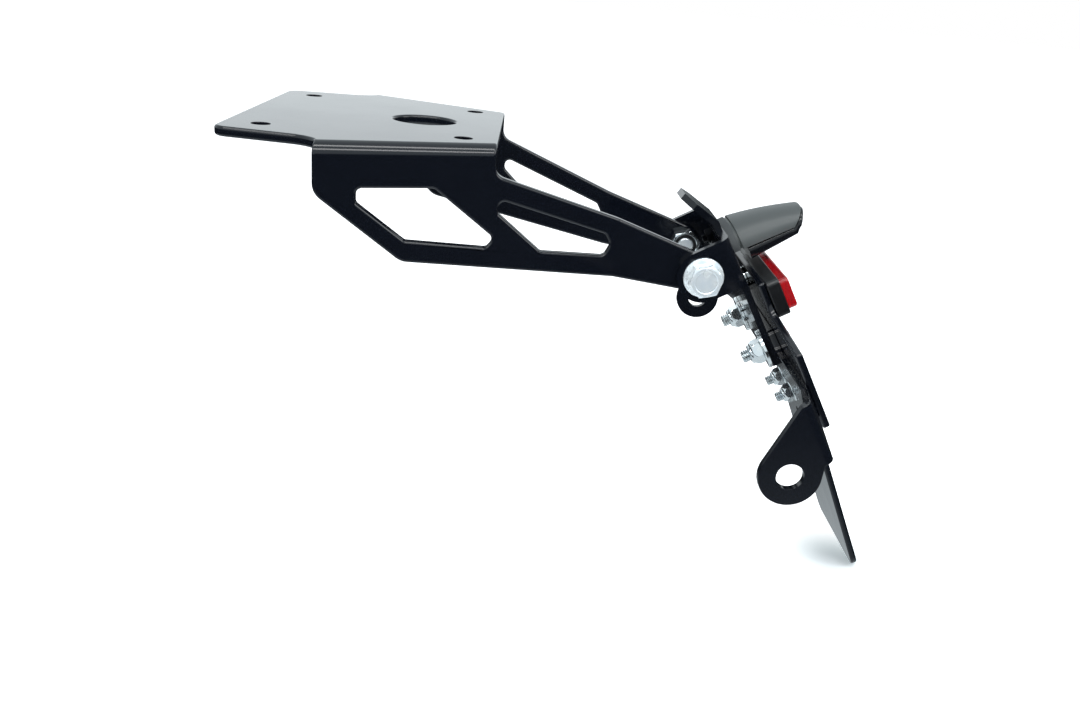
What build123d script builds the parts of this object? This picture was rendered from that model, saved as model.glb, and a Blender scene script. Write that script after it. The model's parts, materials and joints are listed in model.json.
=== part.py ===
import os
from math import cos, hypot, radians, sin, tan

from build123d import *

# Tail tidy: a folded bracket that bolts under the tail of a motorbike, with a tilting hanger for the
# number plate, its lamp, its reflector and the two indicators.
# Millimetres. +X points to the rear, +Z up, and the origin is midway between the two front
# bolt holes on the top face of the bracket.

# Main bracket
bracket_sheet = 4.0
bend_radius = 5.0
front_hole_spacing = 97.0
rear_hole_spacing = 82.0
hole_row_spacing = 78.5
tail_hole_diameter = 7.5
cable_hole_diameter = 27.2
cable_hole_x = 58.6
tongue_front_x = -15.0
tongue_front_width = 125.0
tongue_rear_width = 133.0
tongue_corner_radius = 6.0
tongue_relief_length = 11.0
wing_front_x = 26.0
wing_front_width = 158.0
wing_front_depth = 19.0
plate_rear_x = 92.5
notch_depth = 11.9
notch_radius = 5.0
lower_corner_x = 58.0
lower_corner_depth = 46.3
lower_corner_radius = 8.0
arm_fold_x = 146.0
arm_outer_width = 60.0
fold_radius = 4.0
window_corner_radius = 2.5
relief_bend_margin = 1.0
relief_bow_along = 0.64
relief_bow_out = 0.4

# Windows of the main bracket: depths are below the top face
front_window_top = 17.2
front_window_front = 15.0
front_window_front_low = 22.6
front_window_top_end = 23.0
front_window_tip_behind = 1.0
front_window_tip = 37.4
front_window_low_end = 2.0
front_window_low = 41.2
front_window_heel_behind = 1.0
front_window_heel = 37.7
rear_window_front = 2.5
rear_window_front_top = 21.7
rear_window_front_low = 26.8
rear_window_front_heel = 1.6
rear_window_end = 5.5
rear_window_end_top = 36.5
rear_window_tip = 3.0
rear_window_tip_depth = 41.0
rear_window_low = 45.9
rear_window_heel = 33.0
rear_window_heel_depth = 43.4

# Pivot between the arms and the hanger
pivot_x = 184.6
pivot_drop = 51.6
arm_end_radius = 8.1
pivot_bolt_diameter = 8.0
pivot_hole_clearance = 0.35
pivot_flange_diameter = 17.5
pivot_flange_thickness = 1.6
pivot_head_across = 13.0
pivot_head_height = 6.4
pivot_nut_height = 6.5

# Hanger: layers are counted rearwards from the pivot axis, square to the tilted plates
hanger_tilt = 30.0
hanger_sheet = 3.0
base_setback = 13.5
lug_radius = 11.5
base_edge_margin = 3.15
base_length = 53.0
hanger_bend_radius = 4.0
inner_bend_radius = 1.0
top_tongue_width = 25.0
top_tongue_bend_height = 14.0
top_tongue_length = 18.6
top_tongue_angle = 27.5
top_tongue_corner = 6.0

# Indicator bar: drops are measured down the plate from the pivot axis
bar_width = 221.6
bar_hub_margin = 1.15
bar_hub_drop = 37.5
bar_waist_drop = 45.5
bar_waist_radius = 3.0
bar_bottom_drop = 61.0
bar_crank_width = 152.0
bar_crank_depth = 4.4
tab_top_drop = 34.4
tab_hole_diameter = 10.7
tab_end_radius = 12.2
tab_hole_drop = 59.7
tab_hole_reach = 2.1
bar_bend_radius = 3.5

# Plate carrier
carrier_top_drop = 10.8
carrier_top_width = 80.0
carrier_shoulder_drop = 25.5
carrier_width = 150.0
carrier_shoulder_end = 31.5
carrier_wing_end = 67.0
carrier_tongue_width = 60.0
carrier_crease_drop = 86.0
carrier_crease_angle = 4.7
carrier_end_drop = 172.0
carrier_fillet = 6.0
carrier_end_radius = 6.0
slot_width = 7.0
slot_length = 22.0
slot_drop = 104.0

# Fasteners of the hanger
carrier_bolt_spacing = 49.0
carrier_bolt_drop = 46.0
carrier_bolt_diameter = 6.0
carrier_bolt_length = 20.0
carrier_washer_diameter = 18.0
carrier_washer_thickness = 1.6
carrier_nut_across = 10.0
carrier_nut_height = 6.0
plate_screw_spacing = 20.0
plate_screw_drop = 79.0
plate_screw_diameter = 5.0
plate_screw_length = 12.0
plate_washer_diameter = 10.0
plate_washer_thickness = 1.0
plate_nut_across = 8.0
plate_nut_height = 5.0
lock_collar_share = 0.3
lock_collar_inset = 0.4
lock_collar_round = 0.5
head_width_share = 1.75
head_height_share = 0.55
head_round_share = 0.75
socket_width_share = 0.62
socket_depth_share = 0.6
hex_chamfer_angle = 30.0
hole_clearance = 0.35
thread_clearance = 0.1

# Lamp
gasket_thickness = 3.5
lamp_floor_drop = 1.0
lamp_height = 10.4
lamp_base_width = 34.0
lamp_crown_width = 18.8
lamp_middle_height = 9.8
lamp_reach = 27.9
lamp_nose_drop = 2.4
lamp_nose_height = 8.8
lamp_nose_width = 24.0
lamp_nose_crown_width = 14.0
lamp_nose_lean = 45.0
lamp_edge_radius = 3.5
lamp_nose_radius = 3.5
lamp_crown_fall = 0.32
lamp_wall = 1.5
lens_thickness = 5.6
lens_end_thickness = 3.1
lens_front_margin = 4.0
lens_margin = 0.8
lens_lap = 1.5
board_width = 16.0
board_height = 3.6
board_thickness = 1.2
led_side = 2.4
led_height = 1.0
led_spacing = 5.0
stud_diameter = 4.0
stud_wall_depth = 1.0
lamp_stud_spacing = 20.0
lamp_stud_rise = 2.5
stud_nut_across = 7.0
stud_nut_height = 3.2
stud_tail = 2.0

# Reflector
reflector_width = 85.0
reflector_height = 17.0
reflector_body_depth = 5.5
reflector_top_drop = 10.8
reflector_lens_depth = 4.0
reflector_lens_border = 1.4
reflector_corner = 2.0
reflector_lens_round = 1.0
reflector_stud_depth = 3.5
spacer_diameter = 10.0

sides = {"left": -1, "right": 1}
os.makedirs("parts", exist_ok=True)


def keep(builder, name):
    builder.part.label = name
    export_step(builder.part, f"parts/{name}.step")


def tangent_point(point, centre, radius, side):
    away = (point[0] - centre[0], point[1] - centre[1])
    distance = hypot(*away)
    along = radius / distance
    across = side * (1 - along**2) ** 0.5
    unit = (away[0] / distance, away[1] / distance)
    return (
        centre[0] + radius * (along * unit[0] - across * unit[1]),
        centre[1] + radius * (along * unit[1] + across * unit[0]),
    )


def corner(sketch, x, y):
    return sketch.vertices().sort_by_distance((x, y, 0))[0]


# Main bracket
arm_half = arm_outer_width / 2
wing_half = wing_front_width / 2
wing_slope = (wing_half - arm_half) / (arm_fold_x - wing_front_x)
wing_cross = bracket_sheet * (1 + wing_slope**2) ** 0.5
inner_fold_x = arm_fold_x + (bracket_sheet - wing_cross) / wing_slope
arm_tip_x = pivot_x + arm_end_radius
pivot_centre = (pivot_x, -pivot_drop)
lower_corner = (lower_corner_x, -lower_corner_depth)
notch_corner = (plate_rear_x, -notch_depth)
front_corner = (wing_front_x, -wing_front_depth)
lower_tangent = tangent_point(lower_corner, pivot_centre, arm_end_radius, 1)
upper_tangent = tangent_point(notch_corner, pivot_centre, arm_end_radius, -1)


def wing_half_at(x):
    return wing_half - wing_slope * (x - wing_front_x)


# The windows follow the edges of the wing
front_window = [
    (wing_front_x + front_window_front, -front_window_top),
    (plate_rear_x - front_window_top_end, -front_window_top),
    (plate_rear_x + front_window_tip_behind, -front_window_tip),
    (plate_rear_x - front_window_low_end, -front_window_low),
    (lower_corner_x + front_window_heel_behind, -front_window_heel),
    (wing_front_x + front_window_front, -front_window_front_low),
]
rear_window = [
    (plate_rear_x + rear_window_front, -rear_window_front_top),
    (arm_fold_x - rear_window_end, -rear_window_end_top),
    (arm_fold_x - rear_window_tip, -rear_window_tip_depth),
    (arm_fold_x - rear_window_end, -rear_window_low),
    (arm_fold_x - rear_window_heel, -rear_window_heel_depth),
    (plate_rear_x + rear_window_front_heel, -rear_window_front_low),
]

with BuildPart() as main_bracket:
    with BuildSketch(Plane.XY):
        with BuildLine():
            outer = FilletPolyline(
                (tongue_front_x, wing_half_at(tongue_front_x)),
                (arm_fold_x, arm_half),
                (arm_tip_x, arm_half),
                radius=fold_radius,
            )
            inner = FilletPolyline(
                (tongue_front_x, wing_half_at(tongue_front_x) - wing_cross),
                (inner_fold_x, arm_half - bracket_sheet),
                (arm_tip_x, arm_half - bracket_sheet),
                radius=fold_radius + bracket_sheet,
            )
            Line(outer @ 0, inner @ 0)
            Line(outer @ 1, inner @ 1)
        make_face()
        mirror(about=Plane.XZ)
    extrude(amount=-(pivot_drop + arm_end_radius))
    with BuildSketch(Plane.XZ) as side_view:
        with BuildLine():
            Polyline(
                (wing_front_x, 0),
                front_corner,
                lower_corner,
                lower_tangent,
                pivot_centre,
                upper_tangent,
                notch_corner,
                (plate_rear_x, 0),
                close=True,
            )
        make_face()
        with Locations(pivot_centre):
            Circle(arm_end_radius)
        fillet(corner(side_view, *front_corner), lower_corner_radius)
        fillet(corner(side_view, *lower_corner), lower_corner_radius)
        fillet(corner(side_view, *notch_corner), notch_radius)
        with Locations(pivot_centre):
            Circle(pivot_bolt_diameter / 2 + pivot_hole_clearance, mode=Mode.SUBTRACT)
        for window in (front_window, rear_window):
            with BuildLine():
                FilletPolyline(*window, radius=window_corner_radius, close=True)
            make_face(mode=Mode.SUBTRACT)
    extrude(amount=wing_half, both=True, mode=Mode.INTERSECT)
    with BuildSketch(Plane.XY) as top_view:
        relief_half = wing_half - bend_radius - relief_bend_margin
        relief_start = wing_front_x - tongue_relief_length
        with BuildLine():
            Line((tongue_front_x, 0), (tongue_front_x, tongue_front_width / 2))
            Line((tongue_front_x, tongue_front_width / 2), (relief_start, tongue_rear_width / 2))
            ThreePointArc(
                (relief_start, tongue_rear_width / 2),
                (
                    relief_start + relief_bow_along * tongue_relief_length,
                    tongue_rear_width / 2 + relief_bow_out * (relief_half - tongue_rear_width / 2),
                ),
                (wing_front_x, relief_half),
            )
            Polyline(
                (wing_front_x, relief_half),
                (wing_front_x, wing_half_at(wing_front_x)),
                (plate_rear_x, wing_half_at(plate_rear_x)),
                (plate_rear_x, 0),
                (tongue_front_x, 0),
            )
        make_face()
        mirror(about=Plane.XZ)
        for side in sides.values():
            fillet(corner(top_view, tongue_front_x, side * tongue_front_width / 2), tongue_corner_radius)
        with Locations(
            (0, front_hole_spacing / 2),
            (0, -front_hole_spacing / 2),
            (hole_row_spacing, rear_hole_spacing / 2),
            (hole_row_spacing, -rear_hole_spacing / 2),
        ):
            Circle(tail_hole_diameter / 2, mode=Mode.SUBTRACT)
        with Locations((cable_hole_x, 0)):
            Circle(cable_hole_diameter / 2, mode=Mode.SUBTRACT)
    extrude(amount=-bracket_sheet)
    bend_middle_x = (wing_front_x + plate_rear_x) / 2
    for side in sides.values():
        outer_bend = main_bracket.edges().sort_by_distance(
            (bend_middle_x, side * wing_half_at(bend_middle_x), 0)
        )[0]
        fillet(outer_bend, bend_radius)
        inner_bend = main_bracket.edges().sort_by_distance(
            (bend_middle_x, side * (wing_half_at(bend_middle_x) - wing_cross), -bracket_sheet)
        )[0]
        fillet(inner_bend, bend_radius - bracket_sheet)
keep(main_bracket, "main_bracket")

# Hanger: flat sketches lie on the hanger plane (X across the bike, Y up the plate) and are pushed out
# along its normal, and side views lie on the hanger profile (X along the normal, Y up the plate)
rearward = Vector(cos(radians(hanger_tilt)), 0, sin(radians(hanger_tilt)))
pivot_point = Vector(pivot_x, 0, -pivot_drop)
hanger = Plane(origin=pivot_point, x_dir=(0, 1, 0), z_dir=rearward)
hanger_profile = Plane(origin=pivot_point, x_dir=rearward, z_dir=(0, -1, 0))
across_view = Plane(origin=pivot_point, x_dir=(0, 1, 0), z_dir=Vector(0, 1, 0).cross(rearward))
base_back = base_setback + hanger_sheet
bar_back = base_back + hanger_sheet
carrier_back = bar_back + hanger_sheet
lug_outer = arm_half + hanger_sheet
reflector_middle = reflector_top_drop + reflector_height / 2
lamp_studs = [(side * lamp_stud_spacing / 2, lamp_stud_rise) for side in sides.values()]
carrier_bolts = [(side * carrier_bolt_spacing / 2, -carrier_bolt_drop) for side in sides.values()]
plate_screws = [(side * plate_screw_spacing / 2, -plate_screw_drop) for side in sides.values()]
reflector_stud_place = (0, -reflector_middle)
stud_hole = stud_diameter / 2 + hole_clearance
carrier_bolt_hole = carrier_bolt_diameter / 2 + hole_clearance
plate_screw_hole = plate_screw_diameter / 2 + hole_clearance
base_width = carrier_bolt_spacing + 2 * (carrier_bolt_hole + base_edge_margin)

with BuildPart() as hinge_bracket:
    with BuildSketch(across_view.offset(-lug_radius)):
        with BuildLine():
            outer = FilletPolyline(
                (0, base_back),
                (lug_outer, base_back),
                (lug_outer, -lug_radius),
                radius=hanger_bend_radius,
            )
            inner = FilletPolyline(
                (0, base_setback),
                (arm_half, base_setback),
                (arm_half, -lug_radius),
                radius=inner_bend_radius,
            )
            Line(outer @ 0, inner @ 0)
            Line(outer @ 1, inner @ 1)
        make_face()
        mirror(about=Plane.YZ)
    extrude(amount=2 * lug_radius)
    with BuildSketch(hanger_profile):
        Circle(lug_radius)
        with Locations((base_back / 2, 0)):
            Rectangle(base_back, 2 * lug_radius)
        Circle(pivot_bolt_diameter / 2 + pivot_hole_clearance, mode=Mode.SUBTRACT)
    extrude(amount=lug_outer, both=True, mode=Mode.INTERSECT)
    with BuildSketch(hanger.offset(base_setback)):
        with Locations((0, -(base_length + lug_radius) / 2)):
            Rectangle(base_width, base_length - lug_radius)
        with Locations((0, lug_radius)):
            Rectangle(top_tongue_width, 2 * (top_tongue_bend_height - lug_radius))
    extrude(amount=hanger_sheet)
    with BuildSketch(hanger.offset(base_setback)):
        with Locations(*lamp_studs, reflector_stud_place):
            Circle(stud_hole)
        with Locations(*carrier_bolts):
            Circle(carrier_bolt_hole)
    extrude(amount=hanger_sheet, mode=Mode.SUBTRACT)
    lean = radians(top_tongue_angle)
    fold_shift = hanger_sheet * tan(lean / 2)
    tip = (
        base_back - top_tongue_length * sin(lean),
        top_tongue_bend_height + top_tongue_length * cos(lean),
    )
    with BuildSketch(hanger_profile):
        with BuildLine():
            Polyline(
                (base_back, top_tongue_bend_height),
                tip,
                (tip[0] - hanger_sheet * cos(lean), tip[1] - hanger_sheet * sin(lean)),
                (base_setback, top_tongue_bend_height - fold_shift),
                (base_setback, top_tongue_bend_height - 2 * fold_shift),
                (base_back, top_tongue_bend_height - 2 * fold_shift),
                close=True,
            )
        make_face()
    extrude(amount=top_tongue_width / 2, both=True)
    for side in sides.values():
        tip_middle = (
            tip[0] - hanger_sheet / 2 * cos(lean),
            tip[1] - hanger_sheet / 2 * sin(lean),
            side * top_tongue_width / 2,
        )
        tip_edge = hinge_bracket.edges().sort_by_distance(hanger_profile.from_local_coords(tip_middle))[0]
        chamfer(tip_edge, top_tongue_corner)
keep(hinge_bracket, "hinge_bracket")

# Indicator bar: a strip behind the hinge base, cranked forward outside the carrier, with a tab
# folded forward at each end. Its section lies across the bike (X) and along the normal (Y).
bar_half = bar_width / 2
crank_half = bar_crank_width / 2
hub_half = carrier_bolt_spacing / 2 + carrier_bolt_hole + bar_hub_margin
waist_half = hub_half + (bar_waist_drop - bar_hub_drop) / 2
fold_back = bar_back - bar_crank_depth
crank_slope = bar_crank_depth / (bar_half - crank_half)
crank_length = hypot(bar_crank_depth, bar_half - crank_half)
inner_crank = crank_half - hanger_sheet * bar_crank_depth / (crank_length + bar_half - crank_half)
inner_fold = base_back - crank_slope * (bar_half - hanger_sheet - inner_crank)
tab_hole = (-tab_hole_reach, -tab_hole_drop)
tab_root = fold_back - bar_bend_radius
tab_upper = tangent_point((tab_root, -tab_top_drop), tab_hole, tab_end_radius, 1)
tab_lower = tangent_point((tab_root, -bar_bottom_drop), tab_hole, tab_end_radius, -1)

with BuildPart() as indicator_bar:
    with BuildSketch(across_view.offset(tab_top_drop)):
        with BuildLine():
            outer = FilletPolyline(
                (0, bar_back),
                (crank_half, bar_back),
                (bar_half, fold_back),
                (bar_half, tab_root),
                radius=bar_bend_radius,
            )
            inner = FilletPolyline(
                (0, base_back),
                (inner_crank, base_back),
                (bar_half - hanger_sheet, inner_fold),
                (bar_half - hanger_sheet, tab_root),
                radius=bar_bend_radius - hanger_sheet,
            )
            Line(outer @ 0, inner @ 0)
            Line(outer @ 1, inner @ 1)
        make_face()
        mirror(about=Plane.YZ)
    extrude(amount=bar_bottom_drop - tab_top_drop)
    with BuildSketch(hanger) as bar_view:
        with BuildLine():
            Polyline(
                (0, -bar_hub_drop),
                (hub_half, -bar_hub_drop),
                (waist_half, -bar_waist_drop),
                (crank_half, -bar_waist_drop),
                (bar_half - bar_bend_radius, -tab_top_drop),
                (bar_half, -tab_top_drop),
                (bar_half, -bar_bottom_drop),
                (0, -bar_bottom_drop),
                close=True,
            )
        make_face()
        mirror(about=Plane.YZ)
        for side in sides.values():
            fillet(corner(bar_view, side * hub_half, -bar_hub_drop), bar_waist_radius)
            fillet(corner(bar_view, side * waist_half, -bar_waist_drop), bar_waist_radius)
        with Locations(*carrier_bolts):
            Circle(carrier_bolt_hole, mode=Mode.SUBTRACT)
    extrude(amount=carrier_back, mode=Mode.INTERSECT)
    for side in sides.values():
        with BuildSketch(hanger_profile.offset(side * (bar_half - hanger_sheet))):
            Polygon(
                (tab_root, -tab_top_drop),
                tab_upper,
                tab_hole,
                tab_lower,
                (tab_root, -bar_bottom_drop),
                align=None,
            )
            with Locations(tab_hole):
                Circle(tab_end_radius)
                Circle(tab_hole_diameter / 2, mode=Mode.SUBTRACT)
        extrude(amount=side * hanger_sheet)
keep(indicator_bar, "indicator_bar")

# Plate carrier: a flat head with two wings, and a long tongue creased slightly forward
tongue_half = carrier_tongue_width / 2
crease_lean = tan(radians(carrier_crease_angle))
crease_shift = hanger_sheet * tan(radians(carrier_crease_angle / 2))
tongue_run = carrier_end_drop - carrier_crease_drop

with BuildPart() as plate_carrier:
    with BuildSketch(hanger_profile):
        Polygon(
            (bar_back, -carrier_top_drop),
            (bar_back, -carrier_crease_drop),
            (bar_back - tongue_run * crease_lean, -carrier_end_drop),
            (carrier_back - (tongue_run - crease_shift) * crease_lean, -carrier_end_drop),
            (carrier_back, -carrier_crease_drop - crease_shift),
            (carrier_back, -carrier_top_drop),
            align=None,
        )
    extrude(amount=carrier_width / 2, both=True)
    with BuildSketch(hanger) as carrier_view:
        with BuildLine():
            Polyline(
                (0, -carrier_top_drop),
                (carrier_top_width / 2, -carrier_top_drop),
                (carrier_top_width / 2, -carrier_shoulder_drop),
                (carrier_width / 2, -carrier_shoulder_end),
                (carrier_width / 2, -carrier_wing_end),
                (tongue_half, -carrier_wing_end),
                (tongue_half, -carrier_end_drop),
                (0, -carrier_end_drop),
                close=True,
            )
        make_face()
        mirror(about=Plane.YZ)
        for side in sides.values():
            fillet(corner(carrier_view, side * carrier_top_width / 2, -carrier_shoulder_drop), carrier_fillet)
            fillet(corner(carrier_view, side * tongue_half, -carrier_wing_end), carrier_fillet)
            fillet(corner(carrier_view, side * tongue_half, -carrier_end_drop), carrier_end_radius)
        with Locations(*carrier_bolts):
            Circle(carrier_bolt_hole, mode=Mode.SUBTRACT)
        with Locations(*plate_screws):
            Circle(plate_screw_hole, mode=Mode.SUBTRACT)
        with Locations(reflector_stud_place):
            Circle(stud_hole, mode=Mode.SUBTRACT)
        with Locations((0, -slot_drop)):
            SlotOverall(slot_length, slot_width, rotation=90, mode=Mode.SUBTRACT)
    extrude(amount=carrier_back, mode=Mode.INTERSECT)
keep(plate_carrier, "plate_carrier")


# Fasteners: each is drawn from a plane on its seat, which faces out of the seat
def hex_block(seat, across, height):
    flat = across / 2
    point = flat / cos(radians(hex_chamfer_angle))
    chamfer_height = (point - flat) * tan(radians(hex_chamfer_angle))
    with BuildPart() as block:
        with BuildSketch(seat):
            RegularPolygon(flat, 6, major_radius=False)
        extrude(amount=height)
        with BuildSketch(Plane(origin=seat.origin, x_dir=seat.x_dir, z_dir=-seat.y_dir)):
            Polygon(
                (0, 0),
                (point, 0),
                (point, height - chamfer_height),
                (flat, height),
                (0, height),
                align=None,
            )
        revolve(axis=Axis(seat.origin, seat.z_dir), mode=Mode.INTERSECT)
    return block.part


def plain_nut(seat, across, height, bore):
    with BuildPart() as nut:
        add(hex_block(seat, across, height))
        with BuildSketch(seat):
            Circle(bore)
        extrude(amount=height, mode=Mode.SUBTRACT)
    return nut


def lock_nut(seat, across, height, bore):
    collar = lock_collar_share * height
    with BuildPart() as nut:
        add(hex_block(seat, across, height - collar))
        with BuildSketch(seat.offset(height - collar)):
            Circle(across / 2 - lock_collar_inset)
        extrude(amount=collar)
        rim = nut.edges().sort_by_distance(seat.offset(height).from_local_coords((0, across / 2, 0)))[0]
        chamfer(rim, lock_collar_round)
        with BuildSketch(seat):
            Circle(bore)
        extrude(amount=height, mode=Mode.SUBTRACT)
    return nut


def washer(seat, diameter, thickness, bore):
    with BuildPart() as ring:
        with BuildSketch(seat):
            Circle(diameter / 2)
            Circle(bore, mode=Mode.SUBTRACT)
        extrude(amount=thickness)
    return ring


def button_screw(seat, diameter, length):
    head_radius = head_width_share * diameter / 2
    head_height = head_height_share * diameter
    with BuildPart() as screw:
        with BuildSketch(seat):
            Circle(head_radius)
        extrude(amount=head_height)
        crown = screw.edges().sort_by_distance(seat.offset(head_height).from_local_coords((0, head_radius, 0)))[0]
        fillet(crown, head_round_share * head_height)
        with BuildSketch(seat.offset(head_height)):
            RegularPolygon(socket_width_share * diameter / 2, 6, major_radius=False)
        extrude(amount=-socket_depth_share * head_height, mode=Mode.SUBTRACT)
        with BuildSketch(seat):
            Circle(diameter / 2)
        extrude(amount=-length)
    return screw


def stud(seat, length):
    with BuildPart() as pin:
        with BuildSketch(seat):
            Circle(stud_diameter / 2)
        extrude(amount=length)
    return pin


def hanger_seat(place, layer, facing):
    return Plane(
        origin=hanger.from_local_coords((*place, layer)),
        x_dir=(0, 1, 0),
        z_dir=rearward * facing,
    )


pivot_bolt_length = hanger_sheet + bracket_sheet + pivot_nut_height
pivot_thread_hole = pivot_bolt_diameter / 2 + thread_clearance
carrier_thread_hole = carrier_bolt_diameter / 2 + thread_clearance
plate_thread_hole = plate_screw_diameter / 2 + thread_clearance
stud_thread_hole = stud_diameter / 2 + thread_clearance

for (word, side), bolt_place, screw_place in zip(sides.items(), carrier_bolts, plate_screws):
    bolt_seat = Plane(origin=(pivot_x, side * lug_outer, -pivot_drop), x_dir=rearward, z_dir=(0, side, 0))
    with BuildPart() as pivot_bolt:
        add(hex_block(bolt_seat.offset(pivot_flange_thickness), pivot_head_across, pivot_head_height))
        with BuildSketch(bolt_seat):
            Circle(pivot_flange_diameter / 2)
        extrude(amount=pivot_flange_thickness)
        with BuildSketch(bolt_seat):
            Circle(pivot_bolt_diameter / 2)
        extrude(amount=-pivot_bolt_length)
    keep(pivot_bolt, f"pivot_bolt_{word}")
    nut_seat = Plane(
        origin=(pivot_x, side * (arm_half - bracket_sheet), -pivot_drop),
        x_dir=rearward,
        z_dir=(0, -side, 0),
    )
    pivot_nut = plain_nut(nut_seat, pivot_head_across, pivot_nut_height, pivot_thread_hole)
    keep(pivot_nut, f"pivot_nut_{word}")

    carrier_bolt = button_screw(hanger_seat(bolt_place, carrier_back, 1), carrier_bolt_diameter, carrier_bolt_length)
    keep(carrier_bolt, f"carrier_bolt_{word}")
    carrier_washer = washer(
        hanger_seat(bolt_place, base_setback, -1),
        carrier_washer_diameter,
        carrier_washer_thickness,
        carrier_bolt_hole,
    )
    keep(carrier_washer, f"carrier_washer_{word}")
    carrier_nut = lock_nut(
        hanger_seat(bolt_place, base_setback - carrier_washer_thickness, -1),
        carrier_nut_across,
        carrier_nut_height,
        carrier_thread_hole,
    )
    keep(carrier_nut, f"carrier_nut_{word}")

    plate_screw = button_screw(hanger_seat(screw_place, carrier_back, 1), plate_screw_diameter, plate_screw_length)
    keep(plate_screw, f"plate_screw_{word}")
    plate_washer = washer(
        hanger_seat(screw_place, bar_back, -1),
        plate_washer_diameter,
        plate_washer_thickness,
        plate_screw_hole,
    )
    keep(plate_washer, f"plate_washer_{word}")
    plate_nut = lock_nut(
        hanger_seat(screw_place, bar_back - plate_washer_thickness, -1),
        plate_nut_across,
        plate_nut_height,
        plate_thread_hole,
    )
    keep(plate_nut, f"plate_nut_{word}")

# Lamp: a hood on a soft gasket, with a lens let into its floor and a board on its back wall
lamp_low = -lamp_floor_drop
gasket_back = base_back + gasket_thickness
lamp_inner_back = gasket_back + lamp_wall
floor_run = hypot(lamp_reach, lamp_nose_drop)
floor_taper = (lamp_base_width - lamp_nose_width) / 2 / floor_run
floor_start = hanger.from_local_coords((0, lamp_low, gasket_back))
floor_end = hanger.from_local_coords((0, lamp_low - lamp_nose_drop, gasket_back + lamp_reach))
floor_plane = Plane(origin=floor_start, x_dir=(0, 1, 0), z_dir=Vector(0, 1, 0).cross(floor_end - floor_start))


def trapezium(low, height, low_width, top_width, inset=0):
    side_run = (low_width - top_width) / 2 / height
    side_inset = inset * hypot(1, side_run)
    low_half = low_width / 2 - side_run * inset - side_inset
    top_half = top_width / 2 + side_run * inset - side_inset
    bottom = low + inset
    top = low + height - inset
    with BuildSketch() as section:
        Polygon((-low_half, bottom), (low_half, bottom), (top_half, top), (-top_half, top), align=None)
        for half in (top_half, -top_half):
            fillet(corner(section, half, top), lamp_edge_radius - inset)
    return section.sketch


def hood_plane(along, lean):
    foot = hanger.from_local_coords((0, lamp_low - lamp_nose_drop * along / lamp_reach, gasket_back + along))
    return Plane(origin=foot, x_dir=(0, 1, 0), z_dir=rearward.rotate(Axis.Y, lean))


def hood_section(along, lean, height, low_width, top_width, inset):
    with BuildSketch(hood_plane(along, lean)) as section:
        add(trapezium(0, height, low_width, top_width, inset))
    return section.sketch


def hood(inset):
    nose_end = lamp_reach - inset
    middle_width = (lamp_base_width + lamp_nose_width) / 2
    middle_crown = (lamp_crown_width + lamp_nose_crown_width) / 2
    with BuildPart() as block:
        add(hood_section(inset, 0, lamp_height, lamp_base_width, lamp_crown_width, inset))
        add(hood_section(lamp_reach / 2, lamp_nose_lean / 2, lamp_middle_height, middle_width, middle_crown, inset))
        add(hood_section(nose_end, lamp_nose_lean, lamp_nose_height, lamp_nose_width, lamp_nose_crown_width, inset))
        loft()
        nose_lean = radians(lamp_nose_lean)
        nose_foot = (gasket_back + nose_end, lamp_low - lamp_nose_drop * nose_end / lamp_reach)
        nose_low = nose_foot[1] - lamp_height
        nose_rise = lamp_nose_height - inset
        nose_top = (nose_foot[0] + nose_rise * sin(nose_lean), nose_foot[1] + nose_rise * cos(nose_lean))
        with BuildSketch(hanger_profile) as side_view:
            Polygon(
                (gasket_back, nose_low),
                (nose_foot[0] - lamp_height * tan(nose_lean), nose_low),
                nose_top,
                (gasket_back, nose_top[1] + lamp_crown_fall * (nose_top[0] - gasket_back)),
                align=None,
            )
            fillet(corner(side_view, *nose_top), lamp_nose_radius - inset)
        extrude(amount=lamp_base_width, both=True, mode=Mode.INTERSECT)
    return block.part


def floor_panel(inset):
    start = lens_front_margin + inset
    end = floor_run - lens_margin - inset
    start_half = lamp_base_width / 2 - floor_taper * start - lens_margin - inset
    end_half = lamp_base_width / 2 - floor_taper * end - lens_margin - inset
    return [(-start_half, start), (start_half, start), (end_half, end), (-end_half, end)]


with BuildPart() as lamp_gasket:
    with BuildSketch(hanger.offset(base_back)):
        add(trapezium(lamp_low, lamp_height, lamp_base_width, lamp_crown_width))
        with Locations(*lamp_studs):
            Circle(stud_hole, mode=Mode.SUBTRACT)
    extrude(amount=gasket_thickness)
keep(lamp_gasket, "lamp_gasket")

with BuildPart() as lamp_housing:
    add(hood(0))
    add(hood(lamp_wall), mode=Mode.SUBTRACT)
    with BuildSketch(floor_plane):
        Polygon(*floor_panel(lens_lap), align=None)
    extrude(amount=-2 * lamp_wall, mode=Mode.SUBTRACT)
    with BuildSketch(hanger.offset(gasket_back)):
        with Locations(*lamp_studs):
            Circle(stud_thread_hole)
    extrude(amount=stud_wall_depth, mode=Mode.SUBTRACT)
keep(lamp_housing, "lamp_housing")

with BuildPart() as lamp_lens:
    with BuildSketch(floor_plane):
        Polygon(*floor_panel(0), align=None)
    extrude(amount=lens_thickness)
    floor_direction = (floor_end - floor_start).normalized()
    with BuildSketch(Plane(origin=floor_start, x_dir=floor_direction, z_dir=(0, 1, 0))):
        Polygon(
            (lens_front_margin, 0),
            (floor_run, 0),
            (floor_run, lens_end_thickness),
            (lens_front_margin, lens_thickness),
            align=None,
        )
    extrude(amount=lamp_base_width, both=True, mode=Mode.INTERSECT)
keep(lamp_lens, "lamp_lens")

board_middle = lamp_low + lamp_height / 2
with BuildPart() as lamp_board:
    with BuildSketch(hanger.offset(lamp_inner_back)):
        with Locations((0, board_middle)):
            Rectangle(board_width, board_height)
    extrude(amount=board_thickness)
keep(lamp_board, "lamp_board")

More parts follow.
